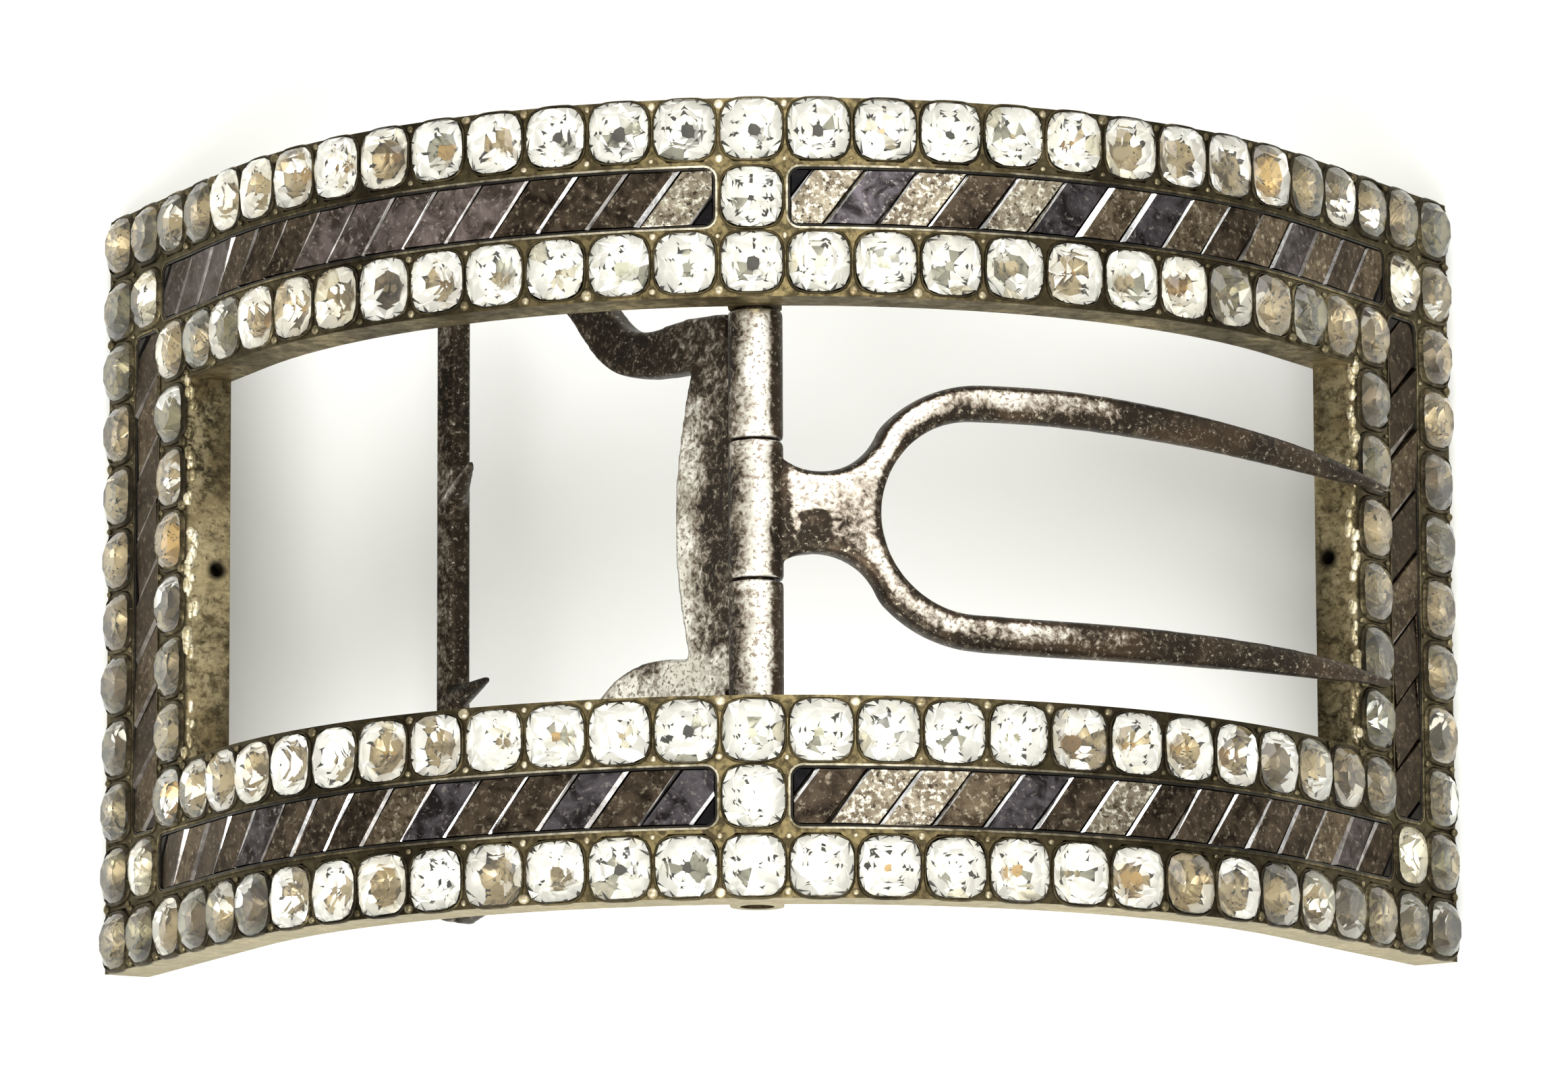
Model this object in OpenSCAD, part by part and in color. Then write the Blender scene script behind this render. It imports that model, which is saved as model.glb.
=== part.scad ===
// Arched shoe buckle: a silver frame set with two rings of cushion-cut stones and a
// channel of dark slanted strips, with a steel chape and a forked tongue on one pin.
// Units are millimetres. +X runs along the strap, +Y along the pin, +Z up.

/* [Stones] */
// Distance from one stone to the next
pitch = 4; // [3.9:0.05:4.3]
// Width of a cushion-cut stone
stone_w = 3.5; // [3.1:0.05:3.55]
// Height of a stone's table above its girdle
crown_h = 0.8; // [0.6:0.05:0.9]
// Depth of a stone's point below its girdle
pavilion_h = 1.15; // [0.9:0.05:1.3]
// Width of the table as a share of the stone
table_share = 0.56; // [0.45:0.01:0.65]
// Depth of the girdle below the frame's face
girdle_sink = 0.1; // [0:0.05:0.2]
// Stones from the middle of a long outer row to its corner stone
long_steps = 14; // [12:1:14]
// Stones in an outer side column, corner stones counted
side_stones = 12; // [12:2:14]

/* [Frame] */
// Radius of the arched middle part, at the frame's face
arch_r = 38.7; // [37:0.1:42]
// Slope of the straight legs
leg_angle = 60; // [54:1:62]
// Height of the frame's walls
wall_h = 3; // [2.8:0.1:3.4]
// Metal outside the outermost stone seats
edge_w = 0.2; // [0.15:0.05:0.5]
// Radius of the vent hole in each end wall of the window
vent_r = 0.4; // [0.3:0.05:0.6]
// Depth of the vent hole
vent_depth = 1.2; // [0.8:0.1:1.6]

/* [Dark strips] */
// Width of a strip
strip_w = 3.3; // [2.8:0.05:3.4]
// Thickness of a strip
strip_h = 0.9; // [0.6:0.05:1.1]
// Bevel round the top of each piece of a strip
strip_bevel = 0.3; // [0.2:0.05:0.4]
// How far a piece leans over the width of its strip
strip_lean = 2.5; // [1.8:0.1:2.8]
// Pieces in each long strip
long_pieces = 15; // [12:1:16]
// Pieces in each side strip
side_pieces = 8; // [7:1:9]
// Gap between two pieces of a strip
piece_gap = 0.12; // [0.11:0.01:0.16]
// Metal between a strip and the stone at its end
end_wall = 0.5; // [0.4:0.05:0.7]

/* [Pin and barrels] */
// Diameter of the pin
pin_d = 2; // [1.6:0.1:2.2]
// Depth of the pin's axis below the frame's face
pin_drop = 4.2; // [4.1:0.05:4.6]
// Diameter of the barrels on the pin
barrel_d = 3.3; // [3.1:0.1:3.6]
// Length of the tongue's barrel
tongue_barrel_l = 8.3; // [7.5:0.1:9]
// Metal round the pin in the lug below each long wall
lug_wall = 0.6; // [0.5:0.05:0.8]
// Depth of the pin's end inside its lug
pin_recess = 0.4; // [0.2:0.05:0.6]

/* [Chape] */
// Tilt of the chape below the level, as it lies in the photo
chape_tilt = 47.5; // [42:0.5:56]
// Clearance below the bar when the chape hangs straight down
bar_clear = 0.5; // [0.4:0.1:3]
// Distance from the bar's ends to the frame's outer sides
bar_inset = 2.15; // [1.8:0.05:4]
// Width of the bar
bar_w = 1.8; // [1.5:0.1:2.2]
// Thickness of the chape
chape_t = 1.5; // [1.2:0.1:1.8]
// Width of an arm
arm_w = 3; // [2.6:0.1:3.4]
// Reach of the bowed plate beside the barrels
plate_reach = 7.9; // [7:0.1:8.4]
// Length of a spike, from the bar's middle line
spike_l = 5.4; // [4.6:0.1:5.8]
// Radius of a spike at its root
spike_r = 0.85; // [0.7:0.05:0.9]
// Radius of a spike at its tip
spike_tip_r = 0.25; // [0.2:0.05:0.35]

/* [Tongue] */
// Rise of the tongue's curve over its chord
tongue_bow = 4; // [3.4:0.1:4.4]
// Thickness of the tongue at its barrel
tongue_t = 1.9; // [1.5:0.1:2.2]
// Thickness of a prong at its tip
tip_t = 0.8; // [0.6:0.05:1]
// Width of the neck
neck_w = 4.8; // [4.2:0.1:5.4]
// Radius of the fork's inside
fork_r = 5.95; // [5.4:0.05:6.2]
// Width of a prong at the fork
prong_w = 2.1; // [1.8:0.1:2.3]
// Distance between a prong's tip and the middle
tip_spread = 6; // [5.4:0.1:6.4]
// Sideways lean of the prongs at their tips
tongue_lean = 1.6; // [0:0.1:2]
// Sideways place of the tongue's middle
tongue_y = -0.3; // [-0.6:0.05:0.6]

/* [Fits] */
// Gap round a stone or strip in its seat
seat_gap = 0.08; // [0.05:0.01:0.12]
// Radial play of the barrels on the pin
hinge_play = 0.05; // [0.03:0.01:0.08]
// Play between the ends of the barrels
end_play = 0.12; // [0.08:0.01:0.2]
// Radial play of the pin in its lugs
pin_play = 0.02; // [0.01:0.01:0.04]
// Gap between a prong's tip and the stones below it
rest_gap = 0.2; // [0.15:0.05:0.4]

/* [Hidden] */
$fn = 96;
silver = [0.62, 0.59, 0.52];
steel = [0.42, 0.36, 0.31];
glass = [0.93, 0.93, 0.9];
dark_foil = [0.24, 0.21, 0.24];

// Half counts of the two rings, in steps of one stone
outer_i = long_steps;
outer_j = (side_stones - 1) / 2;
inner_i = outer_i - 2;
inner_j = outer_j - 2;

seat_w = stone_w + 2 * seat_gap;
seat_depth = girdle_sink + pavilion_h + seat_gap;
frame_half_s = outer_i * pitch + seat_w / 2 + edge_w;
frame_half_y = outer_j * pitch + seat_w / 2 + edge_w;
window_half_s = inner_i * pitch - seat_w / 2 - edge_w;
window_half_y = inner_j * pitch - seat_w / 2 - edge_w;

// Middle line of the channel between the rings
channel_s = (outer_i - 1) * pitch;
channel_y = (outer_j - 1) * pitch;
strip_start = seat_w / 2 + end_wall;
long_strip_l = channel_s - 2 * strip_start;
side_strip_l = 2 * (channel_y - strip_start);
channel_w = strip_w + 2 * seat_gap;
// Room that the flat underside of a piece needs on the arch
piece_sag = pow(long_strip_l / long_pieces + strip_lean, 2) / (8 * arch_r);
channel_depth = strip_h + seat_gap + piece_sag;

pin_r = pin_d / 2;
barrel_r = barrel_d / 2;
bore_r = pin_r + hinge_play;
lug_r = pin_r + lug_wall;
pin_l = 2 * (frame_half_y - pin_recess);
// Room that cutting shapes take beyond the part
spare = 8;

// Arched face of the frame: slope, and [x, z] of a point at distance s along it,
// raised by h. The frame's feet stand at z = 0.
arc_s = arch_r * leg_angle * PI / 180;
function slope(s) = sign(s) * min(abs(s) / arc_s, 1) * leg_angle;
function beyond(s) = max(abs(s) - arc_s, 0);
function rise(s, h) = let (a = abs(slope(s))) (arch_r + h) * cos(a) - beyond(s) * sin(a);
foot_rise = rise(frame_half_s, -wall_h);
top_z = arch_r - foot_rise;
pin_z = top_z - pin_drop;
function face(s, h) = let (a = abs(slope(s)))
    [sign(s) * ((arch_r + h) * sin(a) + beyond(s) * cos(a)), rise(s, h) - foot_rise];
function on_face(s, y, h) = let (p = face(s, h)) [p[0], y, p[1]];
// A local point of a piece that sits at s, y on the face
function placed(p, s, y) = let (a = slope(s))
    on_face(s, y, 0) + [p[0] * cos(a) + p[2] * sin(a), p[1], p[2] * cos(a) - p[0] * sin(a)];

function flatten(list) = [for (part = list) each part];
function shifted(faces, n) = [for (f = faces) [for (i = f) i + n]];
function mix(a, b, t) = a + (b - a) * t;

// Smooth curve through the rows of a table, with 4 steps between two rows
function row(t, i) = t[max(0, min(len(t) - 1, i))];
function between(a, b, c, d, t) =
    0.5 * (2 * b + (c - a) * t + (2 * a - 5 * b + 4 * c - d) * t * t + (3 * b - a - 3 * c + d) * t * t * t);
curve_steps = 4;
function smooth(t) = [for (k = [0 : (len(t) - 1) * curve_steps]) let (i = floor(k / curve_steps))
    between(row(t, i - 1), row(t, i), row(t, i + 1), row(t, i + 2), k / curve_steps - i)];

// Outline of a band along a curve, whose rows are [x, y, width]
function normal_at(c, i) = let (d = row(c, i + 1) - row(c, i - 1), l = norm([d[0], d[1]]))
    [-d[1], d[0]] / l;
function side_of(c, side) = [for (i = [0 : len(c) - 1])
    [c[i][0], c[i][1]] + side * normal_at(c, i) * c[i][2] / 2];
function reversed(c) = [for (i = [len(c) - 1 : -1 : 0]) c[i]];
module band(table) {
    c = smooth(table);
    polygon(concat(side_of(c, 1), reversed(side_of(c, -1))));
}

// Cushion-cut stone: girdle of 16 points, table of 8 and a point below
girdle_n = 16;
table_n = girdle_n / 2;
cushion_power = 3;
function cushion(half, a) =
    half / pow(pow(abs(cos(a)), cushion_power) + pow(abs(sin(a)), cushion_power), 1 / cushion_power);
function stone_ring(half, n, z) = [for (k = [0 : n - 1]) let (a = k * 360 / n, r = cushion(half, a))
    [r * cos(a), r * sin(a), z]];
stone_points = concat(
    stone_ring(stone_w / 2, girdle_n, -girdle_sink),
    stone_ring(stone_w * table_share / 2, table_n, crown_h - girdle_sink),
    [[0, 0, -pavilion_h - girdle_sink]]);
function crown_faces(k) = let (g = 2 * k, t = girdle_n + k, next = girdle_n + (k + 1) % table_n)
    [[g, t, g + 1], [g + 1, t, next], [g + 1, next, (g + 2) % girdle_n]];
stone_faces = concat(
    flatten([for (k = [0 : table_n - 1]) crown_faces(k)]),
    [[for (k = [table_n - 1 : -1 : 0]) girdle_n + k]],
    [for (k = [0 : girdle_n - 1]) [k, (k + 1) % girdle_n, girdle_n + table_n]]);

// Places of the stones, as [s, y]
function ring(ni, nj) = concat(
    flatten([for (side = [-1, 1]) [for (i = [-ni : ni]) [i * pitch, side * nj * pitch]]]),
    flatten([for (side = [-1, 1]) [for (j = [1 - nj : nj - 1]) [side * ni * pitch, j * pitch]]]));
outer_places = ring(outer_i, outer_j);
inner_places = ring(inner_i, inner_j);
corner_places = flatten([for (a = [-1, 1]) [for (b = [-1, 1]) [a * channel_s, b * channel_y]]]);
centre_places = [for (b = [-1, 1]) [0, b * channel_y]];

module stones(places) {
    color(glass) polyhedron(
        points = flatten([for (q = places) [for (p = stone_points) placed(p, q[0], q[1])]]),
        faces = flatten([for (k = [0 : len(places) - 1]) shifted(stone_faces, k * len(stone_points))]));
}

// Strip: slanted pieces, each a block with bevelled upper edges. A piece spans a share
// of the strip along it and leans over its width.
piece_quads = [[0, 1, 2, 3], [0, 4, 5, 1], [1, 5, 6, 2], [2, 6, 7, 3], [3, 7, 4, 0],
    [4, 8, 9, 5], [5, 9, 10, 6], [6, 10, 11, 7], [7, 11, 8, 4], [11, 10, 9, 8]];
piece_faces = flatten([for (q = piece_quads) [[q[0], q[1], q[2]], [q[0], q[2], q[3]]]]);
gap_along = piece_gap * norm([strip_lean, strip_w]) / strip_w;
// Corners of piece k at the given inset from its edges, as [along, across]. All pieces
// lean to the right in the photo, so those of a turned strip lean the other way along it.
function piece_corners(l, n, k, inset, way) = let (
        half = strip_w / 2 - inset,
        step = l / n,
        a0 = -l / 2 + k * step + gap_along / 2 + inset,
        a1 = -l / 2 + (k + 1) * step - gap_along / 2 - inset,
        lean = way * strip_lean * half / strip_w,
        lo = -l / 2 + inset,
        hi = l / 2 - inset)
    [[max(lo, min(hi, a0 - lean)), -half], [max(lo, min(hi, a1 - lean)), -half],
        [max(lo, min(hi, a1 + lean)), half], [max(lo, min(hi, a0 + lean)), half]];
// Rings of a piece, as [inset, height over the face]
piece_levels = [[0, -strip_h], [0, -strip_bevel], [strip_bevel, 0]];
function at_height(p, s, y, turned, h) = turned
    ? on_face(s - p[1], y + p[0], h)
    : on_face(s + p[0], y + p[1], h);
function strip_points(l, n, s, y, turned) = flatten([for (k = [0 : n - 1])
    flatten([for (level = piece_levels) [for (p = piece_corners(l, n, k, level[0], turned ? -1 : 1))
        at_height(p, s, y, turned, level[1])]])]);
module strip(l, n, s, y, turned = false) {
    color(dark_foil) polyhedron(
        points = strip_points(l, n, s, y, turned),
        faces = flatten([for (k = [0 : n - 1]) shifted(piece_faces, 12 * k)]));
}

// Side outline of what lies under the face raised by h
far_s = frame_half_s + spare;
module under_face(h) {
    translate([0, top_z - arch_r]) circle(arch_r + h);
    polygon([face(-arc_s, h), face(-far_s, h), face(far_s, h), face(arc_s, h)]);
}
// Thick side outline between two distances along the face
side_steps = 40;
function along(s0, s1) = [for (k = [0 : side_steps]) mix(s0, s1, k / side_steps)];
module between_s(s0, s1) {
    polygon(concat([for (s = along(s0, s1)) face(s, spare)], [for (s = along(s1, s0)) face(s, -spare)]));
}
// Part of the arch between two heights and two distances, across the given width
module arch(top, bottom, s0, s1, width) {
    rotate([90, 0, 0]) linear_extrude(width, center = true) intersection() {
        difference() {
            under_face(top);
            under_face(bottom);
        }
        between_s(s0, s1);
    }
}

// Seats of the stones
seat_corner = 0.6;
module seat_outline() {
    half = seat_w / 2;
    cut = half * (1 - seat_corner);
    polygon([[half, half - cut], [half - cut, half], [cut - half, half], [-half, half - cut],
        [-half, cut - half], [cut - half, -half], [half - cut, -half], [half, cut - half]]);
}
module seats(places) {
    for (q = places)
        translate(on_face(q[0], q[1], 0)) rotate([0, slope(q[0]), 0])
            translate([0, 0, -seat_depth]) linear_extrude(seat_depth + spare) seat_outline();
}
module channels() {
    long_start = strip_start - seat_gap;
    for (a = [-1, 1]) {
        for (b = [-1, 1])
            translate([0, b * channel_y, 0])
                arch(spare / 2, -channel_depth, min(a * long_start, a * (channel_s - long_start)),
                    max(a * long_start, a * (channel_s - long_start)), channel_w);
        arch(spare / 2, -channel_depth, a * channel_s - channel_w / 2,
            a * channel_s + channel_w / 2, side_strip_l + 2 * seat_gap);
    }
}
module lugs() {
    lug_l = frame_half_y - window_half_y;
    for (b = [-1, 1])
        translate([0, b * (frame_half_y + window_half_y) / 2, pin_z]) rotate([90, 0, 0])
            linear_extrude(lug_l, center = true) {
                circle(lug_r);
                translate([-lug_r, 0]) square([2 * lug_r, pin_drop - wall_h / 2]);
            }
}
module frame() {
    color(silver) difference() {
        union() {
            arch(0, -wall_h, -frame_half_s, frame_half_s, 2 * frame_half_y);
            lugs();
        }
        rotate([90, 0, 0]) linear_extrude(2 * window_half_y, center = true)
            between_s(-window_half_s, window_half_s);
        seats(outer_places);
        seats(inner_places);
        seats(corner_places);
        seats(centre_places);
        channels();
        translate([0, 0, pin_z]) rotate([90, 0, 0])
            cylinder(h = 2 * (frame_half_y + spare), r = pin_r + pin_play, center = true);
        vents();
    }
}
// Place of the vents between the face and the underside
vent_level = 0.7;
module vents() {
    for (a = [-1, 1])
        translate(on_face(a * window_half_s, 0, -vent_level * wall_h))
            rotate([0, slope(a * window_half_s) + a * 90, 0])
                translate([0, 0, -vent_depth]) cylinder(h = 2 * vent_depth, r = vent_r, $fn = 32);
}

module pin() {
    color(steel) translate([0, 0, pin_z]) rotate([90, 0, 0])
        cylinder(h = pin_l, r = pin_r, center = true);
}

// Chape, drawn flat: x is the distance from the pin's axis, and y runs along the pin,
// opposite to the frame's. Its plate runs on from the underside of its barrels.
chape_reach = pin_z - bar_clear;
bar_l = 2 * (frame_half_y - bar_inset);
tongue_gap_y = tongue_barrel_l / 2 + end_play;
barrel_end = window_half_y - end_play;
// Middle lines of the arms, as shares: [of the reach, of half the bar, of the arm's width].
// The back one bends out sooner than the front one.
far_course = [[0.66, 0.80, 0.95], [0.80, 0.88, 1], [0.955, 0.955, 0.9]];
back_course = concat([[0.1, 0.485, 1.1], [0.22, 0.495, 1.1], [0.34, 0.495, 0.95], [0.43, 0.53, 0.95],
    [0.495, 0.61, 0.95], [0.56, 0.71, 0.9]], far_course);
front_course = concat([[0.1, 0.475, 1.1], [0.22, 0.458, 1.15], [0.34, 0.44, 1.05], [0.43, 0.47, 0.95],
    [0.495, 0.555, 0.95], [0.57, 0.68, 0.9]], far_course);
module arm(side, course) {
    band([for (r = course) [r[0] * chape_reach, side * r[1] * bar_l / 2, r[2] * arm_w]]);
}
plate_end = 0.79;
module bowed_plate() {
    inner = barrel_r + 2 * end_play;
    half = plate_end * barrel_end;
    edge = [for (k = [-8 : 8]) let (t = k / 8) [plate_reach - (1 - plate_end) * plate_reach * t * t, t * half]];
    polygon(concat(edge, [[0, barrel_end], [0, tongue_gap_y - tongue_y], [inner, tongue_gap_y - tongue_y],
        [inner, -tongue_gap_y - tongue_y], [0, -tongue_gap_y - tongue_y], [0, -barrel_end]]));
}
module bar() {
    translate([chape_reach - bar_w, -bar_l / 2 + bar_w / 2]) square([bar_w, bar_l - bar_w]);
    for (side = [-1, 1])
        translate([chape_reach - bar_w / 2, side * (bar_l - bar_w) / 2]) circle(bar_w / 2, $fn = 32);
}
// Spikes that point from the bar to the pin, as [share of half the bar, sideways lean,
// rise over the plate]
spikes = [[0.2, -20, 24], [-0.37, -8, 14]];
module spike(place) {
    translate([chape_reach - bar_w / 2, -place[0] * bar_l / 2, chape_t / 2 - barrel_r])
        rotate([0, 0, -place[1]]) rotate([0, place[2] - 90, 0])
            cylinder(h = spike_l, r1 = spike_r, r2 = spike_tip_r, $fn = 24);
}
module chape() {
    color(steel) translate([0, 0, pin_z]) rotate([0, -chape_tilt, 0]) rotate([0, 0, 180]) difference() {
        union() {
            for (side = [-1, 1]) {
                inner = tongue_gap_y - side * tongue_y;
                translate([0, side * (barrel_end + inner) / 2, 0]) rotate([90, 0, 0])
                    cylinder(h = barrel_end - inner, r = barrel_r, center = true);
            }
            translate([0, 0, -barrel_r]) linear_extrude(chape_t) {
                bowed_plate();
                arm(1, front_course);
                arm(-1, back_course);
                bar();
            }
            for (place = spikes)
                spike(place);
        }
        rotate([90, 0, 0]) cylinder(h = 2 * (barrel_end + spare), r = bore_r, center = true);
    }
}

// Tongue, drawn along its chord: x runs from the pin's axis to the tips
tip_height = crown_h - girdle_sink + rest_gap + tip_t / 2;
tip = face(inner_i * pitch, tip_height) - [0, pin_z];
tongue_l = norm(tip);
chord_slope = -atan2(tip[1], tip[0]);
// Circle through the two ends of a chord and a point over its middle, as [centre, radius]
function circle_over(h0, hm, h1) = let (
        ax = tongue_l / 2, dx = tongue_l, dy = h1 - h0, my = hm - h0,
        det = 2 * (ax * dy - my * dx),
        a2 = ax * ax + my * my, d2 = dx * dx + dy * dy,
        cx = (dy * a2 - my * d2) / det, cy = (ax * d2 - dx * a2) / det)
    [[cx, cy + h0], norm([cx, cy])];
mid_t = (tongue_t + tip_t) / 2;
module tongue_side() {
    top = circle_over(tongue_t / 2, tongue_bow + mid_t / 2, tip_t / 2);
    under = circle_over(-tongue_t / 2, tongue_bow - mid_t / 2, -tip_t / 2);
    intersection() {
        difference() {
            translate(top[0]) circle(top[1], $fn = 720);
            translate(under[0]) circle(under[1], $fn = 720);
        }
        translate([0, -tongue_t]) square([tongue_l + tip_t, tongue_bow + 3 * tongue_t]);
    }
}
// Middle line of a prong past the fork, as [share of the length, share of the spread
// from fork to tip, share of the width]
prong_course = [[0.3, 0, 1], [0.4, -0.05, 1.02], [0.5, 0.05, 1], [0.65, 0.3, 0.92], [0.8, 0.6, 0.78],
    [0.9, 0.8, 0.55], [1, 1, 0.12]];
// Middle of the fork's outside as a share of the length, and how much nearer to the
// pin the middle of its inside lies
fork_x = 0.307;
fork_set = 0.5;
module prong(side) {
    start = fork_r + prong_w / 2;
    band([for (r = prong_course) let (t = (r[0] - prong_course[0][0]) / (1 - prong_course[0][0]))
        [r[0] * tongue_l, side * mix(start, tip_spread, r[1]) - tongue_lean * t * t, r[2] * prong_w]]);
}
neck_fillet = 4;
module tongue_plan() {
    fork = fork_x * tongue_l;
    difference() {
        union() {
            translate([fork, 0]) intersection() {
                circle(fork_r + prong_w);
                translate([-2 * fork_r, -2 * fork_r]) square([2 * fork_r, 4 * fork_r]);
            }
            translate([0, -tongue_barrel_l / 2]) square([fork - fork_r, tongue_barrel_l]);
        }
        translate([fork - fork_set, 0]) circle(fork_r);
        for (side = [-1, 1])
            translate([fork - fork_r - neck_fillet, side * (neck_w / 2 + neck_fillet)]) circle(neck_fillet);
    }
    prong(1);
    prong(-1);
}
module tongue() {
    color(steel) translate([0, tongue_y, pin_z]) rotate([0, chord_slope, 0]) difference() {
        union() {
            rotate([90, 0, 0]) cylinder(h = tongue_barrel_l, r = barrel_r, center = true);
            intersection() {
                rotate([90, 0, 0]) linear_extrude(4 * fork_r, center = true) tongue_side();
                translate([0, 0, -2 * tongue_t]) linear_extrude(tongue_bow + 4 * tongue_t) tongue_plan();
            }
        }
        rotate([90, 0, 0]) cylinder(h = 2 * tongue_barrel_l, r = bore_r, center = true);
    }
}

long_middle = channel_s / 2;
frame();
pin();
chape();
tongue();
stones(outer_places);  // outer_stones
stones(inner_places);  // inner_stones
stones(corner_places);  // corner_stones
stones(centre_places);  // centre_stones
strip(long_strip_l, long_pieces, -long_middle, channel_y);  // strip_top_left
strip(long_strip_l, long_pieces, long_middle, channel_y);  // strip_top_right
strip(long_strip_l, long_pieces, -long_middle, -channel_y);  // strip_bottom_left
strip(long_strip_l, long_pieces, long_middle, -channel_y);  // strip_bottom_right
strip(side_strip_l, side_pieces, -channel_s, 0, true);  // strip_left
strip(side_strip_l, side_pieces, channel_s, 0, true);  // strip_right
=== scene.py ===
import math
import random

import bmesh
import bpy
import numpy as np
from mathutils import Matrix, Vector, noise

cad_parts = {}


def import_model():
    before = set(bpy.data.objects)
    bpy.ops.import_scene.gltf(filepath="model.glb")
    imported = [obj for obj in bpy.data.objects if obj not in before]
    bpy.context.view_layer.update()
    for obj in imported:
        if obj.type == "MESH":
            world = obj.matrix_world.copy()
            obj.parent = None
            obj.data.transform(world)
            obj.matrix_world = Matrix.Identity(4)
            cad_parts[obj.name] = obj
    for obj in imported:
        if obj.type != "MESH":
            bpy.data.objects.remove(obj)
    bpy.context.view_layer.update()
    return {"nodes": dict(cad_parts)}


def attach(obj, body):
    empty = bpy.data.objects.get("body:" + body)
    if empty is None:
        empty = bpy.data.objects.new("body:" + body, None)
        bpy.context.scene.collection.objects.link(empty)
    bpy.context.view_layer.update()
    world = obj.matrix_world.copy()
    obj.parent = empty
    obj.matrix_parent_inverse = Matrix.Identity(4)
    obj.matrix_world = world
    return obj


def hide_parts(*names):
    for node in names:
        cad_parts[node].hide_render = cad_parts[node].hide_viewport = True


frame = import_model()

MM = 0.001

# Sizes of the part, in millimetres, as its source has them
PITCH = 4.0
STONE_W = 3.5
OUTER_I, OUTER_J = 14, 5.5
INNER_I, INNER_J = 12, 3.5
SEAT_W = STONE_W + 0.16
EDGE_W = 0.2
WALL_H = 3.0
VENT_LEVEL = 0.7
ARCH_R = 38.7
LEG = math.radians(60)
ARC_S = ARCH_R * LEG
HALF_S = OUTER_I * PITCH + SEAT_W / 2 + EDGE_W
HALF_Y = OUTER_J * PITCH + SEAT_W / 2 + EDGE_W
WINDOW_S = INNER_I * PITCH - SEAT_W / 2 - EDGE_W
WINDOW_Y = INNER_J * PITCH - SEAT_W / 2 - EDGE_W
CHANNEL_S = (OUTER_I - 1) * PITCH
CHANNEL_Y = (OUTER_J - 1) * PITCH
STRIP_START = SEAT_W / 2 + 0.5
PIN_DROP = 4.2
BARREL_R = 1.65
CHAPE_TILT = math.radians(47.5)

# A place on the face is s along the arch, y across it and h above the surface


def slope(s):
    """The face's slope, which grows over the arch and stays the same on the legs."""
    return math.copysign(min(abs(s) / ARC_S, 1) * LEG, s)


def rise(s, h):
    """Height over the arch's axis."""
    a = abs(slope(s))
    return (ARCH_R + h) * math.cos(a) - max(abs(s) - ARC_S, 0) * math.sin(a)


FOOT_RISE = rise(HALF_S, -WALL_H)
TOP_Z = ARCH_R - FOOT_RISE
PIN_Z = TOP_Z - PIN_DROP


def on_face(s, y, h=0.0):
    a = abs(slope(s))
    x = (ARCH_R + h) * math.sin(a) + max(abs(s) - ARC_S, 0) * math.cos(a)
    return Vector((math.copysign(x, s), y, rise(s, h) - FOOT_RISE))


def face_matrix(s, y):
    return Matrix.Translation(on_face(s, y)) @ Matrix.Rotation(slope(s), 4, "Y")


# Meshes

class Build:
    """Collects points and faces in millimetres, with a material number for each face."""

    def __init__(self):
        self.points = []
        self.faces = []
        self.mats = []

    def add(self, points, faces, mats):
        base = len(self.points)
        self.points += [tuple(p) for p in points]
        self.faces += [[base + i for i in f] for f in faces]
        self.mats += list(mats) if not isinstance(mats, int) else [mats] * len(faces)

    def piece(self, name, materials, smooth=False):
        mesh = bpy.data.meshes.new(name)
        mesh.from_pydata([(x * MM, y * MM, z * MM) for x, y, z in self.points], [], self.faces)
        for m in materials:
            mesh.materials.append(m)
        mesh.polygons.foreach_set("material_index", self.mats)
        mesh.polygons.foreach_set("use_smooth", [smooth] * len(self.faces))
        bm = bmesh.new()
        bm.from_mesh(mesh)
        bmesh.ops.recalc_face_normals(bm, faces=bm.faces)
        bm.to_mesh(mesh)
        bm.free()
        mesh.update()
        ob = bpy.data.objects.new(name, mesh)
        bpy.context.scene.collection.objects.link(ob)
        return ob


def cushion(half, a, power):
    """Radius of a square with rounded sides and corners, in one direction."""
    return half / (abs(math.cos(a)) ** power + abs(math.sin(a)) ** power) ** (1 / power)


def cushion_ring(half, n, z, turn, power):
    out = []
    for k in range(n):
        a = 2 * math.pi * (k + turn) / n
        r = cushion(half, a, power)
        out.append(Vector((r * math.cos(a), r * math.sin(a), z)))
    return out


# Materials

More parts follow.
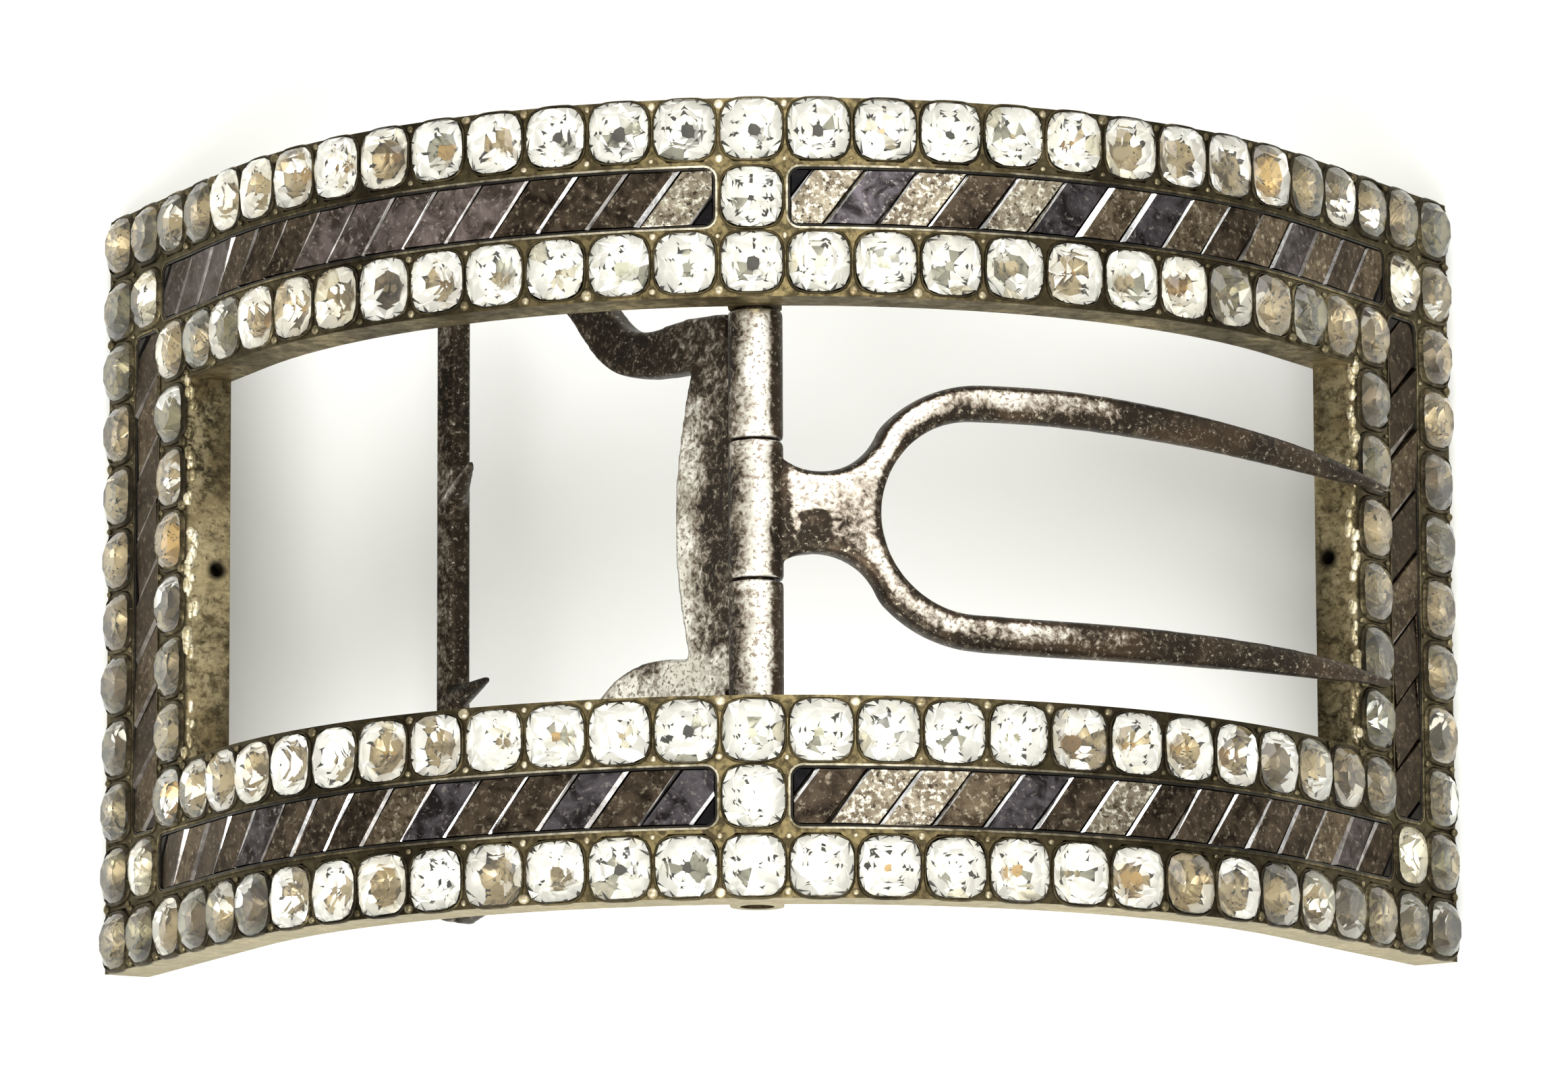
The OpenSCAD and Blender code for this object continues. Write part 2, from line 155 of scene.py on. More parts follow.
class Nodes:
    """Short way to write a material's nodes. Sizes are given in millimetres."""

    def __init__(self, name="", mat=None):
        """A new material by its name, or one that is there."""
        self.mat = mat or bpy.data.materials.new(name)
        self.mat.use_nodes = True
        self.tree = self.mat.node_tree
        self.shader = self.tree.nodes["Principled BSDF"]
        self.coord = self.tree.nodes.new("ShaderNodeTexCoord").outputs["Object"]

    def new(self, kind, **values):
        n = self.tree.nodes.new("ShaderNode" + kind)
        for k, v in values.items():
            setattr(n, k, v)
        return n

    def link(self, a, b):
        self.tree.links.new(a, b)

    def noise(self, per_mm, detail=3.0, rough=0.55, warp=0.0, stretch=None):
        """Cloudy pattern with so many clouds to the millimetre."""
        n = self.new("TexNoise")
        n.inputs["Scale"].default_value = per_mm / MM
        n.inputs["Detail"].default_value = detail
        n.inputs["Roughness"].default_value = rough
        n.inputs["Distortion"].default_value = warp
        source = self.coord
        if stretch:
            m = self.new("Mapping")
            m.inputs["Scale"].default_value = stretch
            self.link(self.coord, m.inputs["Vector"])
            source = m.outputs["Vector"]
        self.link(source, n.inputs["Vector"])
        return n.outputs["Fac"]

    def ramp(self, value, stops):
        """Colours over a value, as pairs of the value and its colour."""
        n = self.new("ValToRGB")
        e = n.color_ramp.elements
        e[0].position, e[0].color = stops[0][0], tuple(stops[0][1]) + (1,)
        e[1].position, e[1].color = stops[-1][0], tuple(stops[-1][1]) + (1,)
        for at, colour in stops[1:-1]:
            e.new(at).color = tuple(colour) + (1,)
        self.link(value, n.inputs["Fac"])
        return n.outputs["Color"]

    def step(self, value, low, high, a=0.0, b=1.0):
        """Goes from a to b while the value goes from low to high."""
        n = self.new("MapRange")
        n.inputs["From Min"].default_value = low
        n.inputs["From Max"].default_value = high
        n.inputs["To Min"].default_value = a
        n.inputs["To Max"].default_value = b
        self.link(value, n.inputs["Value"])
        return n.outputs["Result"]

    def math(self, kind, a, b):
        n = self.new("Math", operation=kind)
        for i, v in enumerate((a, b)):
            if isinstance(v, (int, float)):
                n.inputs[i].default_value = v
            else:
                self.link(v, n.inputs[i])
        return n.outputs[0]

    def add(self, a, b):
        return self.math("ADD", a, b)

    def times(self, a, b):
        return self.math("MULTIPLY", a, b)

    def total(self, first, *rest):
        """The sum of pairs of a value and its weight."""
        value = self.times(*first)
        return self.add(value, self.total(*rest)) if rest else value

    def length(self, a, b):
        return self.math("SQRT", self.add(self.times(a, a), self.times(b, b)), 0)

    def mix(self, fac, a, b, kind="MIX"):
        n = self.new("Mix", data_type="RGBA", blend_type=kind)
        for name, v in (("Factor", fac), ("A", a), ("B", b)):
            socket = [i for i in n.inputs if i.name == name and i.enabled][0]
            if isinstance(v, (int, float)):
                socket.default_value = v
            elif isinstance(v, (tuple, list)):
                socket.default_value = tuple(v) + (1,)
            else:
                self.link(v, socket)
        return [o for o in n.outputs if o.enabled][0]

    def place(self):
        """Distance from the buckle's middle, place across it and height, in metres."""
        n = self.new("SeparateXYZ")
        self.link(self.coord, n.inputs[0])
        return self.math("ABSOLUTE", n.outputs[0], 0), n.outputs[1], n.outputs[2]

    def ends(self, near_mm, far_mm):
        """0 in the buckle's middle and 1 at its ends."""
        return self.step(self.place()[0], near_mm * MM, far_mm * MM)

    def attribute(self, name):
        return self.new("Attribute", attribute_name=name).outputs["Fac"]

    def bump(self, height, strength, depth_mm):
        n = self.new("Bump")
        n.inputs["Strength"].default_value = strength
        n.inputs["Distance"].default_value = depth_mm * MM
        self.link(height, n.inputs["Height"])
        self.link(n.outputs["Normal"], self.shader.inputs["Normal"])

    def set(self, **values):
        for k, v in values.items():
            socket = self.shader.inputs[k.replace("_", " ")]
            if isinstance(v, bpy.types.NodeSocket):
                self.link(v, socket)
            elif isinstance(v, tuple):
                socket.default_value = v + (1,)
            else:
                socket.default_value = v
        return self.mat


def glass_material(name, tint):
    n = Nodes(name)
    n.set(Base_Color=tint, Roughness=0.015, IOR=1.56, Transmission_Weight=1.0)
    return n.mat


def foil_material(name, bright, stain, amount, roughness, metal):
    """Foil behind a stone: clean metal with patches where it has aged."""
    n = Nodes(name)
    patches = n.step(n.noise(0.8, 3, 0.55, 0.5), 0.64 - amount, 0.74 - amount)
    colour = n.mix(patches, bright, stain)
    spread = 0.6 * amount
    specks = n.step(n.noise(2.4, 3, 0.6, 0.2), 0.70 - spread, 0.76 - spread, 0.0, 0.85)
    colour = n.mix(specks, colour, (0.05, 0.042, 0.03))
    return n.set(Base_Color=colour, Metallic=metal, Roughness=roughness)


def silver_material(name, dark, mid, light, level, metal=0.75, middle_light=None):
    """Tarnished silver: brown-olive, rubbed lighter in places, with grime and fine scratches.
    The two colours of middle_light are painted light in the buckle's middle, where the metal faces
    the light from above; towards the ends they fade out."""
    n = Nodes(name)
    broad = n.noise(0.16, 3, 0.5, 0.2)
    fine = n.noise(1.3, 6, 0.62, 0.4)
    scratch = n.noise(2.4, 2, 0.5, 0.0, (0.15, 1.6, 1.0))
    rubbed = n.total((broad, 0.45), (fine, 0.40), (scratch, 0.15))
    colour = n.ramp(rubbed, [(0.38 - level, dark), (0.50 - level, mid), (0.63 - level, light)])
    grime = n.step(n.noise(2.6, 4, 0.65, 0.3), 0.54, 0.66, 0.0, 0.85)
    colour = n.mix(grime, colour, dark)
    # Painted light: lighter colours in the buckle's middle, fading towards the ends.
    if middle_light:
        clean = n.mix(n.step(rubbed, 0.42, 0.60), *middle_light)
        clean = n.mix(n.times(grime, 0.6), clean, mid)
        colour = n.mix(n.ends(7, 23), clean, colour)
    sparks = n.step(n.noise(3.1, 3, 0.6, 0.2), 0.66, 0.74, 0.0, 0.6)
    colour = n.mix(sparks, colour, light)
    rough = n.step(fine, 0.3, 0.7, 0.50, 0.30)
    n.bump(n.total((fine, 0.7), (scratch, 0.3)), 0.5, 0.08)
    return n.set(Base_Color=colour, Metallic=metal, Roughness=rough,
                 Specular_Tint=(0.74, 0.68, 0.55), Specular_IOR_Level=0.22)


def height_over_arch(n, x, z):
    """Distance from the arch's axis, and on the straight legs the same measure of height."""
    radius = n.length(x, z)
    leg_height = n.add(n.times(x, math.sin(LEG)), n.times(z, math.cos(LEG)))
    on_leg = n.math("GREATER_THAN", x, n.times(z, math.tan(LEG)))
    return n.add(n.times(on_leg, n.math("SUBTRACT", leg_height, radius)), radius)


# Places of the window's end walls and of the vents from the buckle's middle, in millimetres,
# and the radii where a vent's darkness ends and where it has faded away
WALL_X = (33, 36)
VENT_X = (32, 38)
VENT_EDGE = (0.46, 0.80)


def frame_material():
    """Tarnished silver. The face has painted light, yellow-brown in the middle where it faces the
    light from above, and painted shade almost black at the ends. The front wall is lighter, painted
    light from the front, the window's end walls are brown, partly painted light on these lit walls,
    and each has a dark vent: painted shade in the hole with a dark stain round it."""
    mat = silver_material("tarnished_silver", (0.014, 0.010, 0.005), (0.078, 0.061, 0.031),
                          (0.34, 0.28, 0.155), 0.0)
    n = Nodes(mat=mat)
    colour = n.shader.inputs["Base Color"].links[0].from_socket
    x, y, z = n.place()
    across = n.math("ABSOLUTE", y, 0)
    height = height_over_arch(n, x, n.add(z, FOOT_RISE * MM))

    # The window's end walls are tan and mottled: partly the tarnished silver's own tone, partly painted
    # light on these lit walls.
    within_window = n.math("LESS_THAN", across, (WINDOW_Y + 0.1) * MM)
    wall = n.times(n.step(x, WALL_X[0] * MM, WALL_X[1] * MM), within_window)
    mottle = n.step(n.noise(1.5, 6, 0.72, 0.3), 0.44, 0.58, 0.05, 0.85)
    tan = n.mix(n.step(n.noise(0.35, 2), 0.40, 0.62), (0.24, 0.185, 0.095), (0.40, 0.34, 0.20))
    colour = n.mix(n.times(wall, mottle), colour, tan)

    # Painted shade in each vent hole, with a dark stain round it.
    below = n.math("SUBTRACT", height, (ARCH_R - VENT_LEVEL * WALL_H) * MM)
    vent = n.step(n.length(below, across), VENT_EDGE[1] * MM, VENT_EDGE[0] * MM, 0.0, 0.92)
    vent = n.times(vent, n.math("LESS_THAN", x, VENT_X[1] * MM))
    vent = n.times(vent, n.math("GREATER_THAN", x, VENT_X[0] * MM))
    colour = n.mix(vent, colour, (0.010, 0.008, 0.005))

    # Painted light: the front wall is lighter where it faces the light in front.
    front = n.step(y, (-HALF_Y + 0.05) * MM, -HALF_Y * MM, 0.0, 0.55)
    colour = n.mix(front, colour, (0.40, 0.355, 0.245))

    # Painted light on the face: yellow-brown in the middle, where it faces the light from above, and
    # painted shade almost black at the steep ends.
    face_light = n.mix(n.ends(4, 20), (0.23, 0.18, 0.085), (0.008, 0.006, 0.003))
    patchy = n.step(n.noise(1.7, 4, 0.6, 0.3), 0.42, 0.60, 0.15, 1.0)
    face_light = n.mix(patchy, (0.022, 0.017, 0.009), face_light)
    face = n.step(height, (ARCH_R - 0.22) * MM, (ARCH_R - 0.02) * MM, 0.0, 0.86)
    n.link(n.mix(face, colour, face_light), n.shader.inputs["Base Color"])
    return mat


def steel_material(name, rust):
    """Old steel: brown-black skin and some rust, with bright metal and lighter brown where the point
    attribute is high: partly rubbed metal, partly painted highlight.
    """
    n = Nodes(name)
    wear_and_highlight = n.attribute("wear_and_highlight")
    broad = n.noise(0.30, 3, 0.5, 0.3)
    fine = n.noise(2.1, 6, 0.68, 0.5)
    speck = n.noise(4.2, 3, 0.6)
    skin = n.mix(n.step(broad, 0.42, 0.62, 0.0, rust), (0.020, 0.015, 0.010), (0.070, 0.045, 0.027))
    skin = n.mix(n.step(fine, 0.52, 0.70, 0.0, 0.7), skin, (0.15, 0.122, 0.086))
    flecks = n.step(n.noise(2.9, 6, 0.75, 0.3), 0.58, 0.63, 0.0, 0.8)
    skin = n.mix(flecks, skin, (0.40, 0.35, 0.27))
    # The point attribute brings in rubbed edges and painted highlight, the noise rubbed patches.
    rubbed = n.total((wear_and_highlight, 0.80), (fine, 0.85), (broad, 0.55))
    tarnish_and_half_light = n.step(rubbed, 1.03, 1.19)
    bare_and_highlight = n.times(n.step(rubbed, 1.12, 1.32), n.step(speck, 0.38, 0.46))
    metal = n.ramp(broad, [(0.35, (0.50, 0.475, 0.41)), (0.62, (0.82, 0.80, 0.73))])
    colour = n.mix(tarnish_and_half_light, skin, (0.24, 0.195, 0.15))
    colour = n.mix(bare_and_highlight, colour, metal)
    rough = n.step(bare_and_highlight, 0.0, 1.0, 0.48, 0.25)
    n.bump(n.total((fine, 0.7), (speck, 0.3)), 0.5, 0.07)
    return n.set(Base_Color=colour, Metallic=0.9, Roughness=rough)


def strip_material(name, base, patch, speck, speck_at, rough, pits=0.0, metal=1.0):
    """Dark glassy or metallic pieces: clouded, speckled, sometimes pitted, with painted shade darker at
    the ends.
    """
    n = Nodes(name)
    cloud = n.step(n.noise(0.7, 5, 0.65, 0.8), 0.38, 0.62)
    colour = n.mix(cloud, base, patch)
    spots = n.step(n.noise(2.6, 5, 0.68, 0.2), speck_at, speck_at + 0.14)
    colour = n.mix(spots, colour, speck)
    if pits:
        pitted = n.step(n.noise(3.2, 3, 0.6), 0.58, 0.64, 0.0, pits)
        colour = n.mix(pitted, colour, (0.022, 0.016, 0.011))
    # Painted shade: darker towards the buckle's steep ends.
    colour = n.mix(n.ends(27, 40), colour, (0.46, 0.43, 0.40), "MULTIPLY")
    n.bump(n.noise(2.2, 3, 0.6), 0.25, 0.04)
    return n.set(Base_Color=colour, Metallic=metal, Roughness=rough, Specular_Tint=(0.74, 0.70, 0.66))


# A stone's materials, and their slots by name
STONE_MATERIALS = [
    glass_material("paste_clear", (0.998, 0.992, 0.955)),
    glass_material("paste_warm", (0.985, 0.955, 0.86)),
    glass_material("paste_grey", (0.90, 0.91, 0.85)),
    foil_material("foil_white", (0.995, 0.99, 0.95), (0.90, 0.88, 0.79), 0.0, 0.20, 0.55),
    foil_material("foil_cream", (0.74, 0.70, 0.56), (0.42, 0.36, 0.24), 0.08, 0.26, 0.7),
    foil_material("foil_grey", (0.31, 0.305, 0.24), (0.12, 0.115, 0.08), 0.08, 0.26, 0.6),
    foil_material("foil_tan", (0.37, 0.295, 0.165), (0.11, 0.083, 0.042), 0.14, 0.28, 0.40),
    foil_material("foil_amber", (0.56, 0.38, 0.14), (0.22, 0.14, 0.055), 0.12, 0.28, 0.5),
    foil_material("foil_brown", (0.13, 0.095, 0.047), (0.04, 0.03, 0.016), 0.12, 0.32, 0.40),
    foil_material("foil_olive", (0.20, 0.175, 0.088), (0.05, 0.043, 0.022), 0.16, 0.30, 0.40),
    foil_material("foil_line", (0.030, 0.027, 0.018), (0.010, 0.009, 0.006), 0.1, 0.5, 0.3),
    foil_material("culet_amber", (0.46, 0.31, 0.13), (0.20, 0.13, 0.06), 0.16, 0.4, 0.8),
    foil_material("culet_tan", (0.42, 0.35, 0.22), (0.20, 0.16, 0.09), 0.16, 0.4, 0.8),
    foil_material("culet_pale", (0.55, 0.55, 0.43), (0.30, 0.29, 0.20), 0.12, 0.4, 0.8),
]
CLEAR, WARM, SMOKY = range(3)
WHITE, CREAM, GREY, TAN, AMBER, BROWN, OLIVE, LINE = range(3, 11)
CULET_AMBER, CULET_TAN, CULET_PALE = range(11, 14)

SILVER = frame_material()
RIM_SILVER = silver_material(
    "collet_silver", (0.006, 0.005, 0.003), (0.024, 0.018, 0.009), (0.13, 0.105, 0.055), -0.02,
    metal=0.5, middle_light=((0.014, 0.011, 0.005), (0.085, 0.065, 0.030)))
EDGE_SILVER = silver_material(
    "recess_silver", (0.012, 0.009, 0.005), (0.050, 0.039, 0.021), (0.22, 0.18, 0.10), -0.01,
    middle_light=((0.10, 0.08, 0.042), (0.68, 0.63, 0.49)))
GRAIN_SILVER = silver_material(
    "grain_silver", (0.03, 0.024, 0.012), (0.10, 0.082, 0.045), (0.27, 0.23, 0.14), 0.0,
    middle_light=((0.22, 0.17, 0.09), (0.85, 0.76, 0.55)))
RIDGE_SILVER = silver_material(
    "ridge_silver", (0.025, 0.019, 0.009), (0.30, 0.25, 0.14), (0.78, 0.72, 0.54), 0.03)
# Near-black ribbon round each recess: painted shadow of the gap, and dark oxide.
GAP_SHADOW_AND_OXIDE = silver_material(
    "gap_shadow_and_oxide", (0.004, 0.004, 0.004), (0.010, 0.009, 0.008), (0.03, 0.026, 0.02), 0.0,
    metal=0.3)
STEEL_DARK = steel_material("dark_steel", 0.30)
STEEL_WORN = steel_material("worn_steel", 0.55)

# A strip's materials, and their slots by name
STRIP_MATERIALS = [
    strip_material("strip_slate", (0.014, 0.012, 0.012), (0.085, 0.076, 0.083),
                   (0.24, 0.22, 0.20), 0.56, 0.26),
    strip_material("strip_brown", (0.015, 0.011, 0.008), (0.066, 0.049, 0.034),
                   (0.23, 0.19, 0.14), 0.55, 0.30),
    strip_material("strip_speckled", (0.11, 0.085, 0.058), (0.30, 0.26, 0.19),
                   (0.74, 0.71, 0.60), 0.50, 0.32, pits=0.85),
    strip_material("strip_rusty", (0.045, 0.032, 0.021), (0.15, 0.115, 0.075),
                   (0.40, 0.35, 0.26), 0.54, 0.34, pits=0.7),
    # Sheen pieces: lighter pinkish-grey clouds, a painted highlight.
    strip_material("strip_sheen", (0.045, 0.033, 0.028), (0.17, 0.135, 0.125),
                   (0.34, 0.30, 0.27), 0.56, 0.30),
    strip_material("strip_bevel", (0.36, 0.36, 0.37), (0.86, 0.86, 0.87),
                   (0.22, 0.18, 0.14), 0.56, 0.2),
    strip_material("strip_dull", (0.16, 0.15, 0.14), (0.42, 0.40, 0.39),
                   (0.10, 0.08, 0.06), 0.60, 0.3),
    strip_material("strip_corner", (0.004, 0.004, 0.005), (0.010, 0.009, 0.010),
                   (0.05, 0.04, 0.04), 0.66, 0.35, metal=0.9),
]
SLATE, DARK_BROWN, SPECKLED, RUSTY, SHEEN, BRIGHT_EDGE, DULL_EDGE, CORNER = range(8)


# Stones

STONE_HALF = 1.86
PAVILION = 1.12
STONE_LIFT = 0.015
GIRDLE_H = 0.10
CULET_SHIFT, WAIST_SHAKE, CULET_SHAKE = 0.13, 0.11, 0.07
SIDES = 8
GIRDLE_N = 2 * SIDES


def marked(panel, marks):
    """A panel cut up so that some of its corners are dark marks. A mark is the share of the
    side before it, of the side after it, and of the way to the panel's middle."""
    middle = sum(panel, Vector()) / len(panel)
    rest, dark = [], []
    for i, p in enumerate(panel):
        if not marks[i]:
            rest.append(p)
            continue
        back, on, depth = marks[i]
        a = p + (panel[i - 1] - p) * back
        b = p + (panel[(i + 1) % len(panel)] - p) * on
        if depth:
            t = p + (middle - p) * depth
            rest += [a, t, b]
            dark.append([p, b, t, a])
        else:
            rest += [a, b]
            dark.append([p, b, a])
    return rest, dark


def dash(rng, chance):
    """A mark that may reach past the panel's middle, or none."""
    if rng.random() > chance:
        return None
    return rng.uniform(0.04, 0.26), rng.uniform(0.04, 0.26), rng.uniform(0.3, 1.15)


def dot(rng, chance, size):
    """A small mark, or none."""
    if rng.random() > chance:
        return None
    return size * rng.uniform(0.4, 1.0), size * rng.uniform(0.4, 1.0), rng.choice([0, 0, size * 0.8])


def shaken(rng, p, amount, axes):
    """A point moved by chance along its first axes."""
    return p + Vector([rng.uniform(-amount, amount) for _ in range(axes)] + [0] * (3 - axes))


def crown_faces():
    """Faces of the glass crown, over the girdle's points, those under it, the table and kites."""
    def girdle(k):
        return k % GIRDLE_N

    def table(k):
        return 2 * GIRDLE_N + k % SIDES

    def kite(k):
        return 2 * GIRDLE_N + SIDES + k % SIDES

    faces = []
    for k in range(SIDES):
        faces += [
            [table(k - 1), kite(k), table(k)],
            [kite(k), girdle(2 * k), girdle(2 * k + 1)],
            [kite(k), girdle(2 * k - 1), girdle(2 * k)],
            [kite(k), girdle(2 * k + 1), table(k)],
            [girdle(2 * k + 1), kite(k + 1), table(k)],
        ]
    faces.append([table(k) for k in range(SIDES)])
    return faces


def pavilion(rng, half, under, white_arc, outer_foil, inner_foil, inner_share, culet):
    """The foil panels under a crown, each with its material and marks: outer ones from the
    girdle to a waist, inner ones from there to the culet, and the culet."""
    turn = rng.choice([0.0, 0.5])
    shift = shaken(rng, Vector((0, 0, 0)), CULET_SHIFT, 2)
    culet_r = half * rng.choice([0.10, 0.13, 0.17, 0.20, 0.24])
    waist_r = half * rng.uniform(0.46, 0.58)
    waist = cushion_ring(waist_r, SIDES, -PAVILION * rng.uniform(0.50, 0.62), turn, 2.6)
    waist = [shaken(rng, p, WAIST_SHAKE, 3) for p in waist]
    tip = [p + shift for p in cushion_ring(culet_r, SIDES, -PAVILION, turn, 2.4)]
    tip = [shaken(rng, p, CULET_SHAKE, 2) for p in tip]
    first = rng.randrange(SIDES)
    stained = white_arc < SIDES - 2
    panels = []
    for k in range(SIDES):
        after = (k + 1) % SIDES
        low = 2 * k + (1 if turn else 0)
        outer = [under[(low + i) % GIRDLE_N] for i in range(3)] + [waist[after], waist[k]]
        marks = [dash(rng, 0.80), dash(rng, 0.95), dash(rng, 0.80)]
        marks += [dot(rng, 0.30, 0.40), dot(rng, 0.30, 0.40)]
        # White panels are clean foil; where only a few are white, they are a painted highlight arc, and
        # the brown panels beside it painted shade.
        turned = (k - first) % SIDES
        foil = WHITE if turned < white_arc else outer_foil
        if stained and turned >= SIDES - 2 and rng.random() < 0.5:
            foil = BROWN
        panels.append((outer, foil, marks))
        inner = [waist[k], waist[after], tip[after], tip[k]]
        marks = [dot(rng, 0.42, 0.42), dot(rng, 0.42, 0.42)]
        marks += [dot(rng, 0.24, 0.46), dot(rng, 0.24, 0.46)]
        panels.append((inner, inner_foil if rng.random() < inner_share else WHITE, marks))
    panels.append((tip, culet, [None] * SIDES))
    return panels


def cut_stone(rng, glass, *foils):
    """A cushion-cut stone over foil, as points, faces and materials. The crown is glass.
    The pavilion seen through it is foil, with dark marks where its panels meet."""
    half = STONE_HALF * rng.uniform(0.975, 1.005)
    power = rng.uniform(3.1, 4.0)
    crown = rng.uniform(0.66, 0.80)
    girdle = cushion_ring(half, GIRDLE_N, GIRDLE_H, 0, power)
    under = cushion_ring(half, GIRDLE_N, 0.0, 0, power)
    table = cushion_ring(half * rng.uniform(0.54, 0.62), SIDES, crown, 0.5, 2.6)
    kite_z = GIRDLE_H + crown * 0.50
    kites = cushion_ring(half * rng.uniform(0.78, 0.83), SIDES, kite_z, 0.0, 3.0)
    points = girdle + under + table + kites
    faces = crown_faces()
    mats = [glass] * len(faces)
    # The girdle band is dark: painted shade round the stone's edge.
    for k in range(GIRDLE_N):
        after = (k + 1) % GIRDLE_N
        faces.append([k, GIRDLE_N + k, GIRDLE_N + after, after])
        mats.append(LINE)

    for panel, foil, marks in pavilion(rng, half, under, *foils):
        rest, dark = marked(panel, marks)
        for face, material in [(rest, foil)] + [(d, LINE) for d in dark]:
            faces.append([len(points) + i for i in range(len(face))])
            points += face
            mats.append(material)
    tilt = Matrix.Rotation(rng.uniform(-0.05, 0.05), 4, "Z")
    for axis in ("X", "Y"):
        tilt = tilt @ Matrix.Rotation(rng.uniform(-0.03, 0.03), 4, axis)
    return [tilt @ p for p in points], faces, mats


def ring_places(ni, nj):
    """Places of a ring's stones, ni pitches along and nj across from the middle."""
    rows = [(i * PITCH, side * nj * PITCH) for side in (-1, 1) for i in range(-ni, ni + 1)]
    count = int(2 * nj - 1)
    ends = [(side * ni * PITCH, (j - (count - 1) / 2) * PITCH) for side in (-1, 1) for j in range(count)]
    return rows + ends


STONES = {
    "outer_stones": ring_places(OUTER_I, OUTER_J),
    "inner_stones": ring_places(INNER_I, INNER_J),
    "corner_stones": [(a * CHANNEL_S, b * CHANNEL_Y) for a in (-1, 1) for b in (-1, 1)],
    "centre_stones": [(0, b * CHANNEL_Y) for b in (-1, 1)],
}


# How stained and shaded a stone is, up to each level of stain_and_shade: its glass, its number of
# white outer panels, the foils of the other outer ones and of the inner ones, the share of these,
# and its culet. The darker rows are partly stained foil and partly painted shade of the steep ends.
# One of a list is drawn by chance.
FINISHES = [
    (0.20, CLEAR, [8, 8, 7], [CREAM, GREY], GREY, 0.15, [WHITE, LINE, CULET_PALE, GREY]),
    (0.36, CLEAR, [8, 8, 7], CREAM, [TAN, CREAM, GREY], 0.30, [CULET_AMBER, CULET_TAN, CULET_TAN]),
    (0.62, [CLEAR, CLEAR, WARM], [8, 7, 6], [CREAM, TAN], [TAN, TAN, TAN, TAN, AMBER, BROWN], 0.72,
     [CULET_AMBER, CULET_TAN]),
    (0.80, [CLEAR, WARM, WARM], [2, 3, 5], [TAN, OLIVE, GREY],
     [TAN, TAN, TAN, OLIVE, BROWN, AMBER], 0.90, CULET_TAN),
    (2.00, [WARM, WARM, SMOKY], [0, 0, 2], [OLIVE, TAN, OLIVE, TAN],
     [TAN, TAN, OLIVE, BROWN], 0.92, CULET_TAN),
]


def stone_finish(far, node):
    """What cut_stone needs. Stones are more stained and darker towards the buckle's ends: partly stained
    foil, partly painted shade of the steep ends.
    """
    stain_and_shade = far + rng.uniform(-0.18, 0.16)
    if node == "corner_stones":
        return WARM, 3, CREAM, CREAM, 0.7, CULET_PALE
    finish = next(row[1:] for row in FINISHES if stain_and_shade < row[0])
    return [rng.choice(v) if isinstance(v, list) else v for v in finish]


OUTER_SHIFT, INNER_SHIFT = 0.15, 0.07


def outward(node, s, y):
    """How far the stones along a ring's sides stand out from the middle of their seats."""
    if node == "outer_stones":
        ni, nj, shift = OUTER_I, OUTER_J, OUTER_SHIFT
    elif node == "inner_stones":
        ni, nj, shift = INNER_I, INNER_J, INNER_SHIFT
    else:
        return Vector((0, 0, 0))
    off = Vector((0, 0, 0))
    if abs(s) > (ni - 0.1) * PITCH:
        off.x = math.copysign(shift, s)
    if abs(y) > (nj - 0.1) * PITCH:
        off.y = math.copysign(shift, y)
    return off


rng = random.Random(11)
for node, places in STONES.items():
    build = Build()
    for s, y in places:
        far = abs(s) / (OUTER_I * PITCH)
        points, faces, mats = cut_stone(rng, *stone_finish(far, node))
        place = face_matrix(s, y) @ Matrix.Translation(outward(node, s, y) + Vector((0, 0, STONE_LIFT)))
        build.add([place @ p for p in points], faces, mats)
    piece = build.piece("cut_" + node, STONE_MATERIALS)
    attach(piece, "frame")
    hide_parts(node)


# Collets, the grains between stones, and the ridge of beads on the window's end walls

RIM_N = 32
RIM_LAP = 0.11
LAP_FROM, LAP_OVER = 0.70, 0.12


def loop_faces(rows, n):
    """Faces between closed loops of n points, from each row to the next and back to the first."""
    faces = []
    for j in range(rows):
        below, above = j * n, (j + 1) % rows * n
        for k in range(n):
            after = (k + 1) % n
            faces.append([below + k, below + after, above + after, above + k])
    return faces


def rim(rng, s, y, off):
    """A closed ring of metal that laps the stone's edge, more so towards the buckle's ends."""
    lap = RIM_LAP * min(max((abs(s) / HALF_S - LAP_FROM) / LAP_OVER, 0), 1)
    inner = STONE_HALF - 0.02 - lap
    outer = PITCH / 2 - 0.03
    raised = 1.3 * lap
    profile = [(inner, 0.05 + raised), (inner + 0.04, 0.13 + raised), (outer - 0.05, 0.10),
               (outer, 0.0), (outer, -0.2), (inner + 0.04, -0.2)]
    lift = [rng.uniform(-0.04, 0.02) for _ in range(RIM_N)]
    points = []
    for j, (r, z) in enumerate(profile):
        for k, p in enumerate(cushion_ring(r, RIM_N, z, 0, 3.5)):
            grow = lift[k] if j in (1, 2) else 0
            points.append(p + Vector((0, 0, grow)))
    place = face_matrix(s, y) @ Matrix.Translation(off)
    return [place @ p for p in points], loop_faces(len(profile), RIM_N)


build = Build()
for node, places in STONES.items():
    for s, y in places:
        points, faces = rim(rng, s, y, outward(node, s, y))
        build.add(points, faces, 0)
piece = build.piece("stone_rims", [RIM_SILVER], smooth=True)
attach(piece, "frame")


